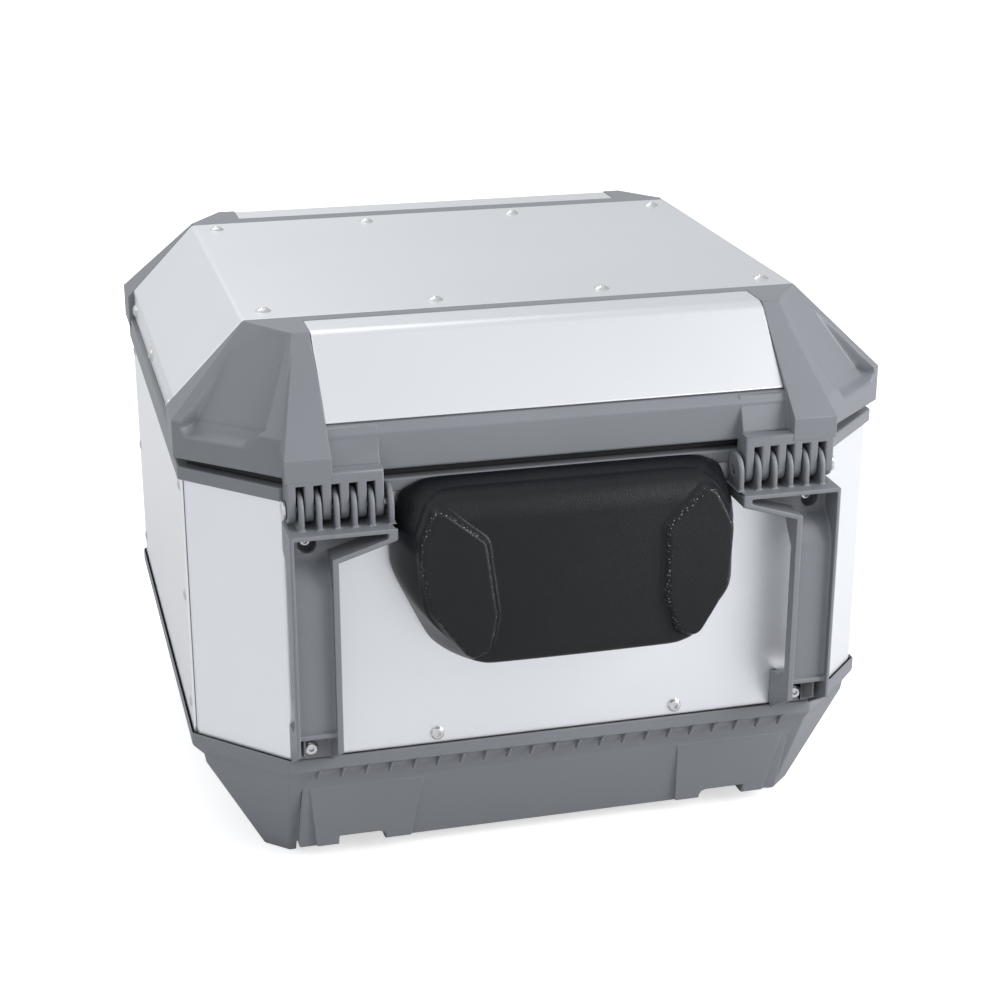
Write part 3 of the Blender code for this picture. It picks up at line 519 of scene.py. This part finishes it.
def signedDistance(points, polygon):
    # distance from each point to the polygon's edges, negative inside it
    polygon = np.asarray(polygon, float)
    start, end = polygon, np.roll(polygon, -1, 0)
    edge = end - start
    away = points[:, None] - start
    t = np.clip((away * edge).sum(-1) / (edge ** 2).sum(-1), 0, 1)
    near = np.linalg.norm(away - t[..., None] * edge, axis=-1).min(1)
    crosses = (start[:, 1] > points[:, None, 1]) != (end[:, 1] > points[:, None, 1])
    slope = edge[:, 0] / np.where(np.abs(edge[:, 1]) < 1e-9, 1e-9, edge[:, 1])
    left = points[:, None, 0] < start[:, 0] + slope * (points[:, None, 1] - start[:, 1])
    return np.where((crosses & left).sum(1) % 2 == 1, -near, near)


def smoothStep(x, low, high):
    t = np.clip((x - low) / (high - low), 0, 1)
    return t * t * (3 - 2 * t)


rounding = {
    "base_tray": 1.3, "body_rim": 0.9, "left_hinge_bracket": 1.1, "right_hinge_bracket": 1.1, "lid_front_cap": 1.1,
    "lid_rear_cap": 1.1, "lid_frame": 0.7, "lock_housing": 1.0, "latch_lever": 1.0, "release_button": 0.8,
    "lid_sheet": 0.4, "lid_front_insert": 0.5, "lid_rear_insert": 0.5, "front_wall": 0.35, "rear_wall": 0.35,
    "left_wall": 0.35, "right_wall": 0.35, "left_hinge_pin": 0.5, "right_hinge_pin": 0.5, "latch_claw": 0.4,
    "lid_strike": 0.3, "latch_pin": 0.4, "key_barrel": 0.4, "base_plate": 0.6, "pad_backing_plate": 0.6,
    "floor_mat": 0.8, "lid_seal": 0.5, "release_catch": 0.4,
}
sharpInside = ("lid_front_cap", "lid_rear_cap")  # their thin inner folds stay sharp
lidMiddle = Vector((0, 0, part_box("lid_frame")[0].z))
scoop = {
    "corners": ((177.5, -133.2, 345.6), (153.6, -166.5, 345.6), (168.5, -214.5, 296.0), (226.5, -162.5, 296.0)),
    "outline": ((27, -9.5), (69, -9.5), (72.5, -4), (57.5, 71), (22.5, 67), (13.5, 4)), "bandBottom": 273.0,
    "deep": 8.6, "shallow": 0.5, "length": 68, "wall": 3.6, "deepest": 14, "turn": (-5.0, 14.0), "rows": 64,
    "bandRows": 36,
}


def facetPatch(side, end, s):
    # a surface through the facet's four corners, straight along both parameters, pressed in inside the outline;
    # the depth grows evenly from the outline's top to its bottom, and its walls follow a smooth step
    top, inner, low, outer = (np.array(c, float) * (side, end, 1) for c in s["corners"])
    across = (outer - low) / np.linalg.norm(outer - low)
    normal = np.cross(outer - low, inner - low)
    normal *= np.sign(normal[2]) / np.linalg.norm(normal)
    tilt = np.cross(outer - low, top - low)
    normal = normal + tilt * np.sign(tilt[2]) / np.linalg.norm(tilt)
    normal /= np.linalg.norm(normal)
    upward = (top + inner - low - outer) / 2
    upward -= across * (upward @ across) + normal * (upward @ normal)
    upward /= np.linalg.norm(upward)
    axes = np.stack([across, upward, normal])
    u, v = np.meshgrid(np.linspace(0, 1, s["rows"]), np.linspace(0, 1, s["rows"]), indexing="ij")
    slope = (inner * (1 - u[..., None]) + top * u[..., None]) * (1 - v[..., None])
    slope = slope + (low * (1 - u[..., None]) + outer * u[..., None]) * v[..., None]
    u, w = np.meshgrid(np.linspace(0, 1, s["rows"]), np.linspace(0, 1, s["bandRows"])[1:], indexing="ij")
    fall = w[..., None] * (s["bandBottom"] - low[2]) * np.array((0, 0, 1.0))
    points = np.concatenate([slope, low * (1 - u[..., None]) + outer * u[..., None] + fall], 1)
    local = (points - low) @ axes.T
    below = points[..., 2] - low[2]
    q = np.where(below < -1e-6, below, local[..., 1]).reshape(-1)
    flat = np.stack([local[..., 0].reshape(-1), q], 1)
    inside = -signedDistance(flat, s["outline"])
    level = normal * (1, 1, 0) / np.linalg.norm(normal[:2])
    turn = smoothStep(q, *s["turn"])[:, None]
    inward = level * (1 - turn) + normal * turn
    inward /= np.linalg.norm(inward, axis=1)[:, None]
    floor = s["shallow"] + (s["deep"] - s["shallow"]) * (1 - q / s["length"])
    reach = np.clip((floor + np.minimum(local[..., 2].reshape(-1), 0)) / (inward @ normal), 0, s["deepest"])
    points = points.reshape(-1, 3) - (reach * smoothStep(inside, 0, s["wall"]))[:, None] * inward
    faces = gridFaces(s["rows"], s["rows"] + s["bandRows"] - 1)
    first = points[faces[0]]
    if np.cross(first[1] - first[0], first[2] - first[0]) @ normal < 0:
        faces = faces[:, ::-1]
    mesh = bpy.data.meshes.new("facetPatch")
    mesh.from_pydata((points * mm).tolist(), [], faces.tolist())
    quad = ((np.stack([low, outer, top, inner]) - low) @ axes.T)[:, :2]
    return {"mesh": mesh, "origin": low, "axes": axes, "quad": quad, "level": level}


patches = {
    "lid_front_cap": [facetPatch(1, 1, scoop), facetPatch(-1, 1, scoop)],
    "lid_rear_cap": [facetPatch(1, -1, scoop), facetPatch(-1, -1, scoop)],
}
for nodeName, width in rounding.items():
    softened(nodeName, width, patches.get(nodeName, ()))

# the level metal of the lid would mirror the key lamp as a white patch, so that lamp leaves it out
leftOut = bpy.data.collections.new("leftOutOfKey")
for pieceName in ("lid_sheetFinish", "lid_rear_insertFinish"):
    leftOut.objects.link(bpy.data.objects[pieceName])
for member in leftOut.collection_objects:
    member.light_linking.link_state = "EXCLUDE"
bpy.data.objects["keyLight"].light_linking.receiver_collection = leftOut

channel = {
    "profile": ((-236.2, 116.6), (-236.2, 130), (-236.2, 160), (-236.2, 190), (-236.1, 202), (-235.8, 206.5),
                (-234.9, 211), (-233.2, 215.2), (-230.8, 218.9), (-227.9, 222), (-225.2, 224.3), (-223.4, 226.2),
                (-223.1, 228.2)),
    "inner": 145.3, "outer": 168.3, "fillet": 1.7, "thickness": 0.8,
}
fins = {"pitch": 15.2, "count": 10, "width": 1.9, "top": (-212.9, 79.6), "bottom": (-210.4, 71.6), "lean": -1.8}


def channelLining(side, s):
    # the arm's floor: one profile carried across the arm, its two edges turned up in quarter circles
    across = np.linspace(0, 1, 33)
    x = s["inner"] + (s["outer"] - s["inner"]) * across
    reach = np.minimum(x - s["inner"], s["outer"] - x)
    curl = np.clip(1 - reach / s["fillet"], 0, 1)
    rise = s["fillet"] * (1 - np.sqrt(1 - curl ** 2 * 0.97))
    profile = np.array(s["profile"], float)
    front = np.stack(np.broadcast_arrays(side * x[None], profile[:, :1] - rise[None], profile[:, 1:]), -1)
    back = front + (0, s["thickness"], 0)
    rows = np.concatenate([front, back[::-1]])
    return rows.reshape(-1, 3), gridFaces(len(rows), len(x), closeRows=True)


def gripFin(x, end, s):
    # a slanting fin of half-round section, carried from under the lip down to the tub
    t = np.linspace(0, 1, 7)[:, None]
    turn = np.linspace(0, np.pi, 9)[None]
    half = s["width"] / 2 * (1 - 0.1 * t)
    px = x + s["lean"] * t + half * np.cos(turn)
    py = s["top"][0] + (s["bottom"][0] - s["top"][0]) * t + 2.6 - (2.6 + half * 0.4) * np.sin(turn) ** 0.5
    pz = s["top"][1] + (s["bottom"][1] - s["top"][1]) * t + 0 * turn
    return np.stack([px, end * py, pz], -1).reshape(-1, 3), gridFaces(7, 9)


for side, label in ((-1, "left"), (1, "right")):
    addPiece(label + "ArmLining", meshFrom(label + "ArmLining", *channelLining(side, channel), smoothAngle=60),
             "case_body", "grey_plastic")
allFins = [gripFin(k * fins["pitch"], end, fins)
           for k in range(-fins["count"], fins["count"] + 1) for end in (1, -1)]
addPiece("gripFins", meshFrom("gripFins", *joined(allFins), smoothAngle=60), "case_body", "grey_plastic")
print("mouldings and sheets are softened:", len(rounding))


fasteners = {
    "rivetRadius": 5.0, "rivetHeight": 2.1,
    "flangeRows": (-110.0, 0.0, 110.0), "flangeHeight": 290.0, "flangeRise": 2.6,
    "seamDepth": 146.5, "seamHeights": (250.0, 177.0, 104.0), "seamRadius": 4.0, "seamRise": 1.2,
    "screwRadius": 4.4, "screwHeight": 2.5, "socket": 1.35,
}


def rivetHead(place, axis, radius, height):
    # a low dome whose height falls with the square of the radius, with the small pit left by the broken stem
    r = np.linspace(1, 0.34, 9)
    dome = np.stack([r * radius, height * (1 - r ** 2.6)], 1)
    edge = [(0, -0.25), (radius * 0.98, -0.25)]
    pit = [(radius * 0.30, height * 0.93), (radius * 0.27, height * 0.62), (0, height * 0.60)]
    return turned(np.vstack([edge, dome, pit]), place, axis)


def screwHead(place, axis, radius, height, socket):
    # a button head: a quarter-ellipse dome down to its rim, and a six-sided socket pressed into its top
    a = np.linspace(0, 1, 10)
    dome = np.stack([radius * np.cos(a * 1.02), height * (0.14 + 0.86 * np.sin(a * np.pi / 2))], 1)
    rim = [(0, -2.0), (radius * 0.5, -2.0), (radius * 0.5, 0), (radius, 0)]
    top = dome[-1][1]
    hole = [(socket + 0.25, top), (socket, top - 0.25), (socket, top - 1.5), (0, top - 1.7)]
    rows = np.vstack([rim, dome, hole])
    return turned(rows, place, axis, 48, (len(rows) - 3, len(rows) - 2))


def placeFasteners(s):
    # the heads stand where the solids have their rivets and screws, and along the seams
    up = (0, 0, 1)
    for k in range(1, 9):
        low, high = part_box(f"lid_rivet_{k}")
        centre = (low + high) / 2 / mm
        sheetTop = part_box("lid_sheet")[1].z / mm
        data = rivetHead((centre.x, centre.y, sheetTop), up, s["rivetRadius"], s["rivetHeight"])
        mesh = meshFrom(f"topRivet{k}", *data, smoothAngle=50)
        addPiece(f"topRivet{k}", mesh, "lid", "rivet_metal", [f"lid_rivet_{k}"])
    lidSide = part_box("lid_sheet")[1].x / mm
    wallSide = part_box("right_wall")[1].x / mm
    flange, seam = [], []
    for side in (-1, 1):
        for y in s["flangeRows"]:
            place = (side * lidSide, y, s["flangeHeight"])
            flange.append(rivetHead(place, (side, 0, 0), s["rivetRadius"], s["flangeRise"]))
        for y in (-s["seamDepth"], s["seamDepth"]):
            for z in s["seamHeights"]:
                place = (side * wallSide, y, z)
                seam.append(rivetHead(place, (side, 0, 0), s["seamRadius"], s["seamRise"]))
    addPiece("flangeRivets", meshFrom("flangeRivets", *joined(flange), smoothAngle=50), "lid", "rivet_metal")
    addPiece("seamRivets", meshFrom("seamRivets", *joined(seam), smoothAngle=50), "case_body", "rivet_metal")
    for side in ("left", "right"):
        for kind in ("upper", "lower", "wall"):
            node = f"{side}_{kind}_screw"
            low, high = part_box(node)
            x, z = (low.x + high.x) / 2 / mm, (low.z + high.z) / 2 / mm
            face = low.y / mm + s["screwHeight"]
            data = screwHead((x, face, z), (0, -1, 0), s["screwRadius"], s["screwHeight"], s["socket"])
            mesh = meshFrom(node + "Head", *data, smoothAngle=40)
            addPiece(side + kind.capitalize() + "ScrewHead", mesh, "case_body", "steel", [node])


placeFasteners(fasteners)
print("rivets and screws are in place")


pad = {
    "back": -214.4, "middle": 214.0, "top": 263.0, "bottom": 162.5,
    "backOutline": ((0, 266), (86, 266), (100, 259), (107, 240), (106.5, 210), (83, 161), (67, 151.5), (0, 151.5)),
    "frontOutline": ((0, 263), (80, 263), (90.5, 256.5), (98.5, 239), (95.5, 195), (69.5, 167), (58, 162.5),
                     (0, 162.5)),
    "backSoften": 3.6, "frontSoften": 3.4, "faceTop": (-246.5, 259.0), "faceSlope": -0.261,
    "topRoll": 17.0, "topDepth": 12.0, "bottomRoll": 9.0, "bottomDepth": 5.0, "edgeRadius": 4.2,
    "wing": ((84.5, 257), (58.5, 240.5), (52.5, 188), (60, 170.5), (67, 168.5), (92.5, 195.5), (96, 238)),
    "wingCorner": 7.0, "recess": 5.0, "bevel": 3.8, "crown": 0.6, "crownHalf": 58, "sideBulge": 1.6,
    "seamHighlightInset": 1.0, "seamHighlightWidth": 0.55, "seamHighlightFront": -235, "around": 360, "rings": 90, "sideRings": 26,
}


def closedCurve(corners, count, soften):
    # the right half's corners and their mirror images, sampled evenly between matched corners, then rounded
    half = np.array(corners, float)
    full = np.vstack([half, (half * (-1, 1))[-2:0:-1]])
    steps = count // len(full)
    t = np.linspace(0, 1, steps, endpoint=False)[None, :, None]
    points = (full[:, None] * (1 - t) + np.roll(full, -1, 0)[:, None] * t).reshape(-1, 2)
    # the samples stay matched between curves, so the rounding works on them: a moving average with bell weights
    kernel = np.exp(-0.5 * (np.arange(-12, 13) / soften) ** 2)
    kernel /= kernel.sum()
    wrapped = np.vstack([points[-12:], points, points[:12]])
    return np.stack([np.convolve(wrapped[:, k], kernel, "valid") for k in (0, 1)], 1)


def padFace(x, z, s, outline):
    # the sloping face; between the wings it sits back and rolls over at its top and bottom; its rim is rounded
    plane = s["faceTop"][0] + (s["faceTop"][1] - z) * s["faceSlope"]
    corners = np.array(s["wing"])
    middle = corners.mean(0)
    span = np.linalg.norm(corners - middle, axis=1)[:, None]
    corners = middle + (corners - middle) * (1 - s["wingCorner"] * 1.25 / span)
    inside = s["wingCorner"] - signedDistance(np.stack([np.abs(x), z], 1), corners)
    raised = smoothStep(inside, -s["bevel"] * 0.5, s["bevel"] * 0.5)
    top = np.clip((z - (s["top"] - s["topRoll"])) / s["topRoll"], 0, 1)
    bottom = np.clip((s["bottom"] + s["bottomRoll"] - z) / s["bottomRoll"], 0, 1)
    field = plane + s["recess"] - s["crown"] * np.cos(x / s["crownHalf"] * np.pi / 2).clip(0)
    field = field + s["topDepth"] * (1 - np.sqrt(1 - top ** 2 * 0.98))
    field = field + s["bottomDepth"] * (1 - np.sqrt(1 - bottom ** 2 * 0.98))
    y = field + (plane - field) * raised
    rim = np.clip(1 + signedDistance(np.stack([x, z], 1), outline) / s["edgeRadius"], 0, 1)
    y = y + s["edgeRadius"] * (1 - np.sqrt(1 - rim ** 2 * 0.999))
    # seam: a line just inside the wing outline, where the skin gets its painted highlight
    seam = np.exp(-0.5 * ((inside - s["seamHighlightInset"]) / s["seamHighlightWidth"]) ** 2)
    return y, seam


def makePad(s):
    # rings from the middle of the back, out along the sides with a slight bulge, and in over the face
    back = closedCurve(s["backOutline"], s["around"], s["backSoften"])
    front = closedCurve(s["frontOutline"], s["around"], s["frontSoften"])
    count = len(front)
    inward = np.linspace(0, 1, s["rings"]) ** 1.25
    centre = np.array((0.0, s["middle"]))
    face = centre + (front - centre)[None] * (1 - inward)[:, None, None]
    flat = face.reshape(-1, 2)
    y, seam = padFace(flat[:, 0], flat[:, 1], s, front)
    facePoints = np.stack([flat[:, 0], y, flat[:, 1]], 1).reshape(len(inward), count, 3)
    edge = facePoints[0]
    t = np.linspace(0, 1, s["sideRings"])[:, None, None]
    base = np.stack([back[:, 0], np.full(count, s["back"]), back[:, 1]], 1)
    outward = np.stack([front[:, 0], np.zeros(count), front[:, 1] - s["middle"]], 1)
    outward /= np.linalg.norm(outward, axis=1)[:, None]
    sides = base * (1 - t) + edge * t + outward * s["sideBulge"] * np.sin(t * np.pi) ** 0.8
    closing = np.repeat(np.array([[(0.0, s["back"], s["middle"] - 2.0)]]), count, 1)
    rows = np.concatenate([closing, sides[:-1], facePoints])
    mesh = meshFrom("padSkin", rows, gridFaces(len(rows), count, closeColumns=True))
    obj = addPiece("passengerPad", mesh, "case_body", "pad_cover", ["backrest_pad"])
    co = np.zeros(len(mesh.vertices) * 3)
    mesh.vertices.foreach_get("co", co)
    co = co.reshape(-1, 3) / mm
    _, seam = padFace(co[:, 0], co[:, 2], s, front)
    # the painted highlight along the seam is kept to the front part of the pad
    seam *= co[:, 1] < s["seamHighlightFront"]
    mesh.attributes.new("seam", "FLOAT", "POINT").data.foreach_set("value", seam.astype(np.float32))


makePad(pad)
print("the pad is made")
